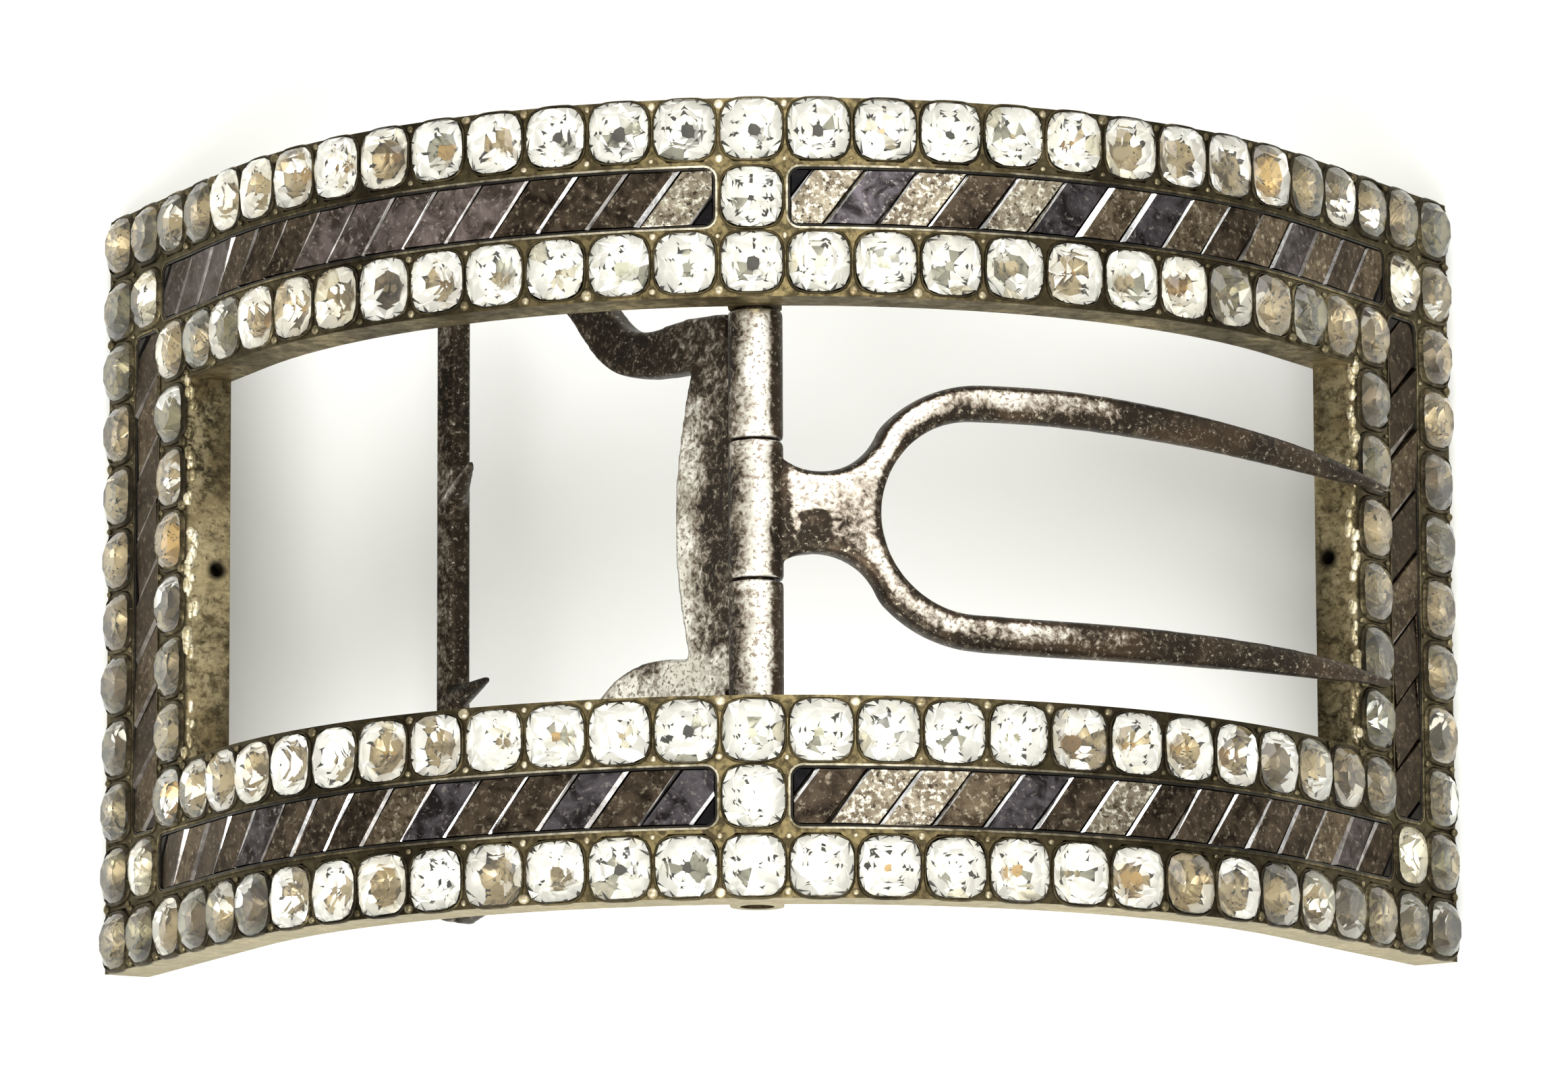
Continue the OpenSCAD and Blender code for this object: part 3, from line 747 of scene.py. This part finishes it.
def grain(rng, s, y, radius, h=0.0, length=1.0):
    """A small irregular bead of metal pushed up beside a stone."""
    bm = bmesh.new()
    bmesh.ops.create_icosphere(bm, subdivisions=2, radius=radius)
    sx, sy, sz = rng.uniform(0.85, 1.15), rng.uniform(0.85, 1.15), rng.uniform(0.7, 1.0)
    place = face_matrix(s, y) @ Matrix.Translation((0, 0, h + rng.uniform(-0.05, 0.08)))
    points = []
    for v in bm.verts:
        p = Vector((v.co.x * sx, v.co.y * sy * length, v.co.z * sz))
        p *= 1 + 0.10 * noise.noise(p * 4 + Vector((s, y, 0)))
        points.append(place @ p)
    faces = [[v.index for v in f.verts] for f in bm.faces]
    bm.free()
    return points, faces


GRAIN_OFF = 1.66
GRAIN_SKIPPED = 0.15
EDGE_GRAIN_R, INNER_GRAIN_R = 0.31, 0.21
RIDGE_BEADS = 9
RIDGE_HALF, RIDGE_CURVE = 1.9, 2.1
RIDGE_TOP, RIDGE_DEEP = 0.14, 0.55


def grain_places(ni, nj, side, edge):
    """Between the stones of one side of a ring, on the one or the other edge of it."""
    rows = [((i + 0.5) * PITCH, side * (nj * PITCH + edge * GRAIN_OFF)) for i in range(-ni, ni)]
    across = [(j + 0.5 - nj) * PITCH for j in range(int(2 * nj))]
    return rows + [(side * (ni * PITCH + edge * GRAIN_OFF), y) for y in across]


build = Build()
for ni, nj in ((OUTER_I, OUTER_J), (INNER_I, INNER_J)):
    for side in (-1, 1):
        for edge in (-1, 1):
            free_edge = (nj == OUTER_J) == (edge == 1)
            size = EDGE_GRAIN_R if free_edge else INNER_GRAIN_R
            for s, y in grain_places(ni, nj, side, edge):
                if rng.random() < GRAIN_SKIPPED:
                    continue
                points, faces = grain(rng, s + rng.uniform(-0.08, 0.08), y + rng.uniform(-0.05, 0.05),
                                      size * rng.uniform(0.6, 1.15))
                build.add(points, faces, 0)
for side in (-1, 1):
    for j in range(int(2 * INNER_J) - 1):
        for _ in range(RIDGE_BEADS):
            along = rng.uniform(-RIDGE_HALF, RIDGE_HALF)
            drop = RIDGE_DEEP * (1 - (along / RIDGE_CURVE) ** 2) * rng.random() + RIDGE_TOP
            points, faces = grain(rng, side * (WINDOW_S + 0.08), (j + 1 - INNER_J) * PITCH + along,
                                  rng.uniform(0.20, 0.36), -drop, rng.uniform(1.1, 2.0))
            build.add(points, faces, 1)
piece = build.piece("grains", [GRAIN_SILVER, RIDGE_SILVER], smooth=True)
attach(piece, "frame")


# Dark strips: slanted pieces with bevelled edges, each a little tilted

STRIP_W, STRIP_H, STRIP_LEAN = 3.3, 0.9, 2.5
STRIP_GAP = 0.10
BEVEL_H, BEVEL_DROP = 0.13, 0.02
BEVEL_SIDE = 0.05
BEVEL_WIDTHS, WIDE_BEVELS = (0.15, 0.25), (0.28, 0.42)
WIDE_SHARE = 0.15
ROLL = 0.07
CORNER_R = 0.55
LONG_L = CHANNEL_S - 2 * STRIP_START
SIDE_L = 2 * (CHANNEL_Y - STRIP_START)
LONG_COUNT, SIDE_COUNT = 15, 8


def clip(poly, limit, sign):
    """The part of a polygon where sign * x <= sign * limit."""
    out = []
    for a, b in zip(poly, poly[1:] + poly[:1]):
        inside_a, inside_b = sign * a[0] <= sign * limit, sign * b[0] <= sign * limit
        if inside_a:
            out.append(a)
        if inside_a != inside_b:
            f = (limit - a[0]) / (b[0] - a[0])
            out.append((limit, a[1] + f * (b[1] - a[1])))
    return out


def piece_loops(k, length, step, wide, flip, way, sink):
    """Outlines of one slanted piece: its foot, the foot of its bevel and its top. The bevel is
    wide on the left, or on the right where it is flipped."""
    gap = STRIP_GAP * math.hypot(STRIP_LEAN, STRIP_W) / STRIP_W
    loops = []
    for inset, far, h in ((0, 0, -STRIP_H), (0, 0, -BEVEL_H), (BEVEL_SIDE, wide, -BEVEL_DROP)):
        left, right = (inset, far) if flip else (far, inset)
        half = STRIP_W / 2 - inset
        lean = way * STRIP_LEAN * half / STRIP_W
        a0 = -length / 2 + k * step + gap / 2 + left
        a1 = -length / 2 + (k + 1) * step - gap / 2 - right
        poly = [(a0 - lean, -half), (a1 - lean, -half), (a1 + lean, half), (a0 + lean, half)]
        poly = clip(clip(poly, -length / 2 + inset, -1), length / 2 - inset, 1)
        loops.append([(a, c, h + (sink(a) if inset else 0)) for a, c in poly])
    return loops


def piece_faces(foot, kind, shine, flip):
    """Faces over a piece's three outlines. The upper long side of its bevel shines: a painted highlight.
    """
    n = len(foot)
    faces, mats = [list(range(n))[::-1]], [kind]
    for tier in (0, 1):
        for i in range(n):
            j = (i + 1) % n
            faces.append([tier * n + i, tier * n + j, (tier + 1) * n + j, (tier + 1) * n + i])
            a, b = foot[i], foot[j]
            upper_side = a[1] < b[1] if flip else a[1] > b[1]
            lit = tier == 1 and upper_side and abs(a[0] - b[0]) > 0.2
            mats.append(shine if lit else kind)
    faces.append([2 * n + i for i in range(n)])
    mats.append(kind)
    return faces, mats


def strip(name, s, y, length, count, turned, order, bright):
    """One strip's pieces. Its order says each piece's kind, and bright how many have a light edge."""
    build = Build()
    step = length / count
    for k in range(-1, count + 1):
        end = k in (-1, count)
        kind = CORNER if end else order(k)
        mid = -length / 2 + min(max(k + 0.5, 0.2), count - 0.2) * step
        near = 1 - abs(s + mid) / CHANNEL_S
        # A light edge is a painted highlight, more often towards the buckle's middle.
        shine = BRIGHT_EDGE if rng.random() < bright * (0.35 + near) else DULL_EDGE
        roll = rng.uniform(-ROLL, ROLL)
        wide = rng.uniform(*(BEVEL_WIDTHS if rng.random() < 1 - WIDE_SHARE else WIDE_BEVELS))
        flip = not turned and s + mid < 0
        loops = piece_loops(k, length, step, wide, flip, -1 if turned else 1,
                            lambda a: roll * (a - mid))
        n = len(loops[0])
        if n < 3 or any(len(loop) != n for loop in loops):
            continue
        if turned:
            place = face_matrix(s, y + mid)
            points = [place @ Vector((-c, a - mid, h)) for loop in loops for a, c, h in loop]
        else:
            place = face_matrix(s + mid, y)
            points = [place @ Vector((a - mid, c, h)) for loop in loops for a, c, h in loop]
        build.add(points, *piece_faces(loops[0], kind, kind if end else shine, flip))
    piece = build.piece("cut_" + name, STRIP_MATERIALS)
    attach(piece, "frame")
    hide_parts(name)
    return s, y, length, turned


ARC_STEPS = 5
OUTLINE_STEP = 1.5


def outline(build, place, far, near, low, high, material):
    """A thin closed ribbon round a strip's recess, with rounded corners."""
    s, y, length, turned = place
    loops = []
    for off, h in ((near, low), (near, high), (far, high), (far, low)):
        half_l, half_w = length / 2 + off, STRIP_W / 2 + off
        r = CORNER_R + off
        path = []
        for cx, cy, start in ((1, 1, 0), (-1, 1, 90), (-1, -1, 180), (1, -1, 270)):
            for i in range(ARC_STEPS + 1):
                a = math.radians(start + 90 * i / ARC_STEPS)
                path.append((cx * (half_l - r) + r * math.cos(a), cy * (half_w - r) + r * math.sin(a)))
        fine = []
        for p, q in zip(path, path[1:] + path[:1]):
            parts = max(1, int(math.dist(p, q) / OUTLINE_STEP))
            for i in range(parts):
                fine.append([a + (b - a) * i / parts for a, b in zip(p, q)])
        places = [(s - c, y + a) if turned else (s + a, y + c) for a, c in fine]
        loops.append([on_face(along, across, h) for along, across in places])
    n = len(loops[0])
    assert all(len(loop) == n for loop in loops)
    build.add([p for loop in loops for p in loop], loop_faces(len(loops), n), material)


def mostly_dark(chance, others):
    """Dark pieces with a few others between them."""
    def order(k):
        if rng.random() < chance:
            return rng.choice(others)
        return rng.choice([SLATE, DARK_BROWN, DARK_BROWN])
    return order


def alternate(k):
    """Speckled or rusty pieces between dark ones."""
    if k % 2:
        return rng.choice([SLATE, SLATE, DARK_BROWN])
    return SPECKLED if k < 6 else RUSTY


def sheened(k):
    """Dark pieces first, then some with a sheen, and a speckled one at the end."""
    if k < 5:
        return rng.choice([SLATE, DARK_BROWN, DARK_BROWN])
    if k == LONG_COUNT - 1:
        return SPECKLED
    return SHEEN if 6 <= k <= 10 else rng.choice([DARK_BROWN, DARK_BROWN, RUSTY])


def brown_or_rusty(k):
    return rng.choice([DARK_BROWN, RUSTY])


def long_strip(name, side_s, side_y, order, bright):
    s, y = side_s * CHANNEL_S / 2, side_y * CHANNEL_Y
    return strip(name, s, y, LONG_L, LONG_COUNT, False, order, bright)


def side_strip(name, side):
    return strip(name, side * CHANNEL_S, 0, SIDE_L, SIDE_COUNT, True, brown_or_rusty, 0.0)


RECESSES = [
    long_strip("strip_top_left", -1, 1, sheened, 0.35),
    long_strip("strip_top_right", 1, 1, alternate, 0.8),
    long_strip("strip_bottom_left", -1, -1, mostly_dark(0.12, [RUSTY, RUSTY]), 0.65),
    long_strip("strip_bottom_right", 1, -1, mostly_dark(0.30, [SPECKLED, RUSTY]), 1.3),
    side_strip("strip_left", -1),
    side_strip("strip_right", 1),
]
build = Build()
for place in RECESSES:
    # A near-black ribbon of painted shadow and dark oxide round each recess, and a light ridge outside
    # it.
    outline(build, place, far=0.17, near=0.03, low=-0.3, high=0.02, material=0)
    outline(build, place, far=0.29, near=0.17, low=-0.3, high=0.07, material=1)
piece = build.piece("recess_edges", [GAP_SHADOW_AND_OXIDE, EDGE_SILVER])
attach(piece, "frame")


# Steel: the plain solids with rounded edges and a worn surface

def remeshed(node, name, voxel):
    """A copy of a node's solid, in millimetres, with an even mesh."""
    mesh = frame["nodes"][node].data.copy()
    mesh.transform(Matrix.Scale(1 / MM, 4))
    ob = bpy.data.objects.new(name, mesh)
    bpy.context.scene.collection.objects.link(ob)
    mod = ob.modifiers.new("remesh", "REMESH")
    mod.mode = "VOXEL"
    mod.voxel_size = voxel
    mod.use_smooth_shade = True
    done = bpy.data.meshes.new_from_object(ob.evaluated_get(bpy.context.evaluated_depsgraph_get()))
    ob.modifiers.clear()
    ob.data = done
    done.materials.clear()
    return ob


def spreader(mesh):
    """A function that averages values over each point's neighbours."""
    n = len(mesh.vertices)
    ed = np.empty(len(mesh.edges) * 2, int)
    mesh.edges.foreach_get("vertices", ed)
    ends, others = np.concatenate([ed[::2], ed[1::2]]), np.concatenate([ed[1::2], ed[::2]])
    degree = np.bincount(ends, minlength=n).astype(float)

    def spread(v, rounds):
        for _ in range(rounds):
            cols = [np.bincount(ends, weights=v[others, c], minlength=n) for c in range(v.shape[1])]
            v = 0.5 * v + 0.5 * np.stack(cols, 1) / degree[:, None]
        return v
    return spread


def points_of(mesh):
    co = np.empty(len(mesh.vertices) * 3)
    mesh.vertices.foreach_get("co", co)
    no = np.empty(len(mesh.vertices) * 3)
    mesh.vertex_normals.foreach_get("vector", no)
    return co.reshape(-1, 3), no.reshape(-1, 3)


def ease(v, low, high):
    return np.clip((v - low) / (high - low), 0, 1)


ROUNDED_FROM, ROUNDED_BY = 1.8, 3.0


def steel_piece(node, name, voxel, rounds, top, low, high, swell, paint):
    """A steel node with rounded edges. A point attribute says where it is bright: rubbed on edges,
    a painted highlight on the sides that face the direction of top, and where paint adds to that.
    On the barrels it is a painted highlight band, with painted shade to the sides."""
    ob = remeshed(node, name, voxel)
    mesh = ob.data
    spread = spreader(mesh)
    co, no = points_of(mesh)
    from_pin = np.hypot(co[:, 0], co[:, 2] - PIN_Z)
    away = ease(from_pin, ROUNDED_FROM, ROUNDED_BY)[:, None]
    light = spread(co, 6)
    co = light * (1 - away) + spread(light, rounds) * away
    mesh.vertices.foreach_set("co", co.ravel())
    mesh.update()
    co, no = points_of(mesh)
    co = co + no * swell * away
    mesh.vertices.foreach_set("co", co.ravel())
    mesh.update()
    co, no = points_of(mesh)
    edge = ((co - spread(co, 8)) * no).sum(1)
    edge = spread(edge[:, None], 4)[:, 0]
    soft = spread(no, 40)
    soft /= np.linalg.norm(soft, axis=1)[:, None]
    # Rubbed edges, and a painted highlight on the sides that face top.
    wear_and_highlight = ease(edge, -0.02, 0.04) * 0.30 + ease(soft @ np.array(top), low, high) * 0.70
    # The barrels get a painted highlight band near the top, with painted shade to the left and right.
    front = ease(-no[:, 0], -0.05, 0.75)
    back = ease(no[:, 0], 0.85, 0.45)
    upper = ease(no[:, 2], 0.0, 0.35)
    barrel_highlight = 0.84 * ((1 - 0.42 * front) * back * upper)
    wear_and_highlight = np.where(from_pin < BARREL_R + 0.07, barrel_highlight, wear_and_highlight + paint(co))
    mesh.attributes.new("wear_and_highlight", "FLOAT", "POINT").data.foreach_set("value", wear_and_highlight.astype(np.float32))
    mesh.materials.append(STEEL_DARK if node == "chape" else STEEL_WORN)
    if node == "chape":
        mesh.materials.append(STEEL_WORN)
        centre = np.empty(len(mesh.polygons) * 3)
        mesh.polygons.foreach_get("center", centre)
        near = np.hypot(centre[::3], centre[2::3] - PIN_Z) < BARREL_R + 0.10
        mesh.polygons.foreach_set("material_index", near.astype(int))
    mesh.transform(Matrix.Scale(MM, 4))
    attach(ob, node)
    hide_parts(node)


BAR_EDGE = 31.7
PATCH_X, PATCH_Y = 3.6, -1.25


def chape_paint(co):
    """Dark arms and bar, a plate rubbed along its free edge, and a brighter lower arm.
    Along it, u is the distance from the pin in millimetres."""
    u = -co[:, 0] * math.cos(CHAPE_TILT) - (co[:, 2] - PIN_Z) * math.sin(CHAPE_TILT)
    y = co[:, 1]
    plate = ease(np.abs(y), 10.5, 8.5) * ease(u, 9.5, 8.0)
    free_edge = ease(u, 4.2, 6.8)
    lower = ease(y, -7.6, -9.2) * ease(u, 26, 16)
    out = -0.45 + plate * (0.06 + 0.34 * free_edge * ease(y, 9, 4)) + lower * 0.34
    return np.where(u > BAR_EDGE, -0.12, out + 0.10 * ease(u, 27, 28.5))


def tongue_paint(co):
    """A dark square patch on the neck, a dark seam beside the barrel, and prongs that darken."""
    x, y = co[:, 0], co[:, 1]
    ragged = 0.12 * np.sin(5 * x + 2) * np.cos(6 * y)
    patch = ease(np.abs(x - PATCH_X) + ragged, 1.05, 0.65) * ease(np.abs(y - PATCH_Y) - ragged, 1.1, 0.7)
    seam = ease(x, 2.3, 1.8)
    far = ease(x, 22, 36)
    lower = ease(y, 0, -6) * ease(x, 4, 8)
    neck = ease(x, 7.5, 5.5) * ease(y, 0.8, -1.6)
    return -0.55 * patch - 0.45 * seam - 0.13 * far - 0.08 * lower - 0.22 * neck


# Directions from which the painted highlight falls on the chape and the tongue.
CHAPE_TOP = (-math.sin(CHAPE_TILT), 0, math.cos(CHAPE_TILT))
TONGUE_TOP = (0.12, 0.12, 0.985)
steel_piece("chape", "worn_chape", voxel=0.145, rounds=5, top=CHAPE_TOP, low=0.3, high=1.0,
            swell=0.0, paint=chape_paint)
steel_piece("tongue", "worn_tongue", voxel=0.11, rounds=60, top=TONGUE_TOP, low=0.84, high=0.99,
            swell=0.07, paint=tongue_paint)

for node, material in (("frame", SILVER), ("pin", STEEL_DARK)):
    mesh = frame["nodes"][node].data
    mesh.materials.clear()
    mesh.materials.append(material)


# Floor, light and camera

def floor():
    bpy.ops.mesh.primitive_plane_add(size=3, location=(0, 0, 0))
    ob = bpy.context.object
    ob.name = "floor"
    n = Nodes("floor_card")
    colour = n.ramp(n.noise(0.02, 2), [(0.3, (0.665, 0.672, 0.650)), (0.7, (0.69, 0.697, 0.675))])
    ob.data.materials.append(n.set(Base_Color=colour, Roughness=0.7))


LIGHT_AIM = Vector((0, 0, 0.02))


def area(name, place, size, power):
    light = bpy.data.lights.new(name, "AREA")
    light.shape = "RECTANGLE"
    light.size, light.size_y = size
    light.energy = power
    ob = bpy.data.objects.new(name, light)
    ob.location = place
    ob.rotation_euler = (LIGHT_AIM - Vector(place)).to_track_quat("-Z", "Y").to_euler()
    bpy.context.scene.collection.objects.link(ob)


def world():
    """Soft light from all sides, dimmer from below."""
    w = bpy.data.worlds.new("studio")
    bpy.context.scene.world = w
    w.use_nodes = True
    tree = w.node_tree
    coord = tree.nodes.new("ShaderNodeTexCoord")
    height = tree.nodes.new("ShaderNodeVectorMath")
    height.operation = "DOT_PRODUCT"
    height.inputs[1].default_value = (0.04, -0.17, 0.98)
    ramp = tree.nodes.new("ShaderNodeValToRGB")
    e = ramp.color_ramp.elements
    for at, v in ((0.25, 0.6), (0.50, 0.95), (0.80, 1.0), (0.95, 1.0)):
        e.new(at).color = (v, v * 0.992, v * 0.945, 1)
    e[0].position, e[0].color = 0.0, (0.6, 0.59, 0.56, 1)
    e[-1].position, e[-1].color = 1.0, (1.0, 0.992, 0.945, 1)
    tree.links.new(coord.outputs["Generated"], height.inputs[0])
    tree.links.new(height.outputs["Value"], ramp.inputs["Fac"])
    tree.links.new(ramp.outputs["Color"], tree.nodes["Background"].inputs["Color"])
    tree.nodes["Background"].inputs["Strength"].default_value = 1.35


# The camera's place, the way it looks and its right, in metres
CAMERA_PLACE = Vector((0.02379, -0.09281, 0.53264 + TOP_Z * MM))
CAMERA_AIM = Vector((-0.0406, 0.1674, -0.9853))
CAMERA_RIGHT = Vector((0.9991, -0.0042, -0.0419))


def camera():
    data = bpy.data.cameras.new("camera")
    data.lens = 210
    data.sensor_width = 36
    data.clip_start = 0.01
    ob = bpy.data.objects.new("camera", data)
    back = -CAMERA_AIM.normalized()
    up = back.cross(CAMERA_RIGHT).normalized()
    right = up.cross(back).normalized()
    turn = Matrix((right, up, back)).transposed().to_4x4()
    ob.matrix_world = Matrix.Translation(CAMERA_PLACE) @ turn
    bpy.context.scene.collection.objects.link(ob)
    bpy.context.scene.camera = ob


floor()
area("key", (-0.10, -0.55, 0.60), (0.5, 0.4), 9.0)
area("fill", (0.25, 0.45, 0.70), (0.6, 0.6), 4.0)
world()
camera()
bpy.context.scene.view_settings.view_transform = "Standard"
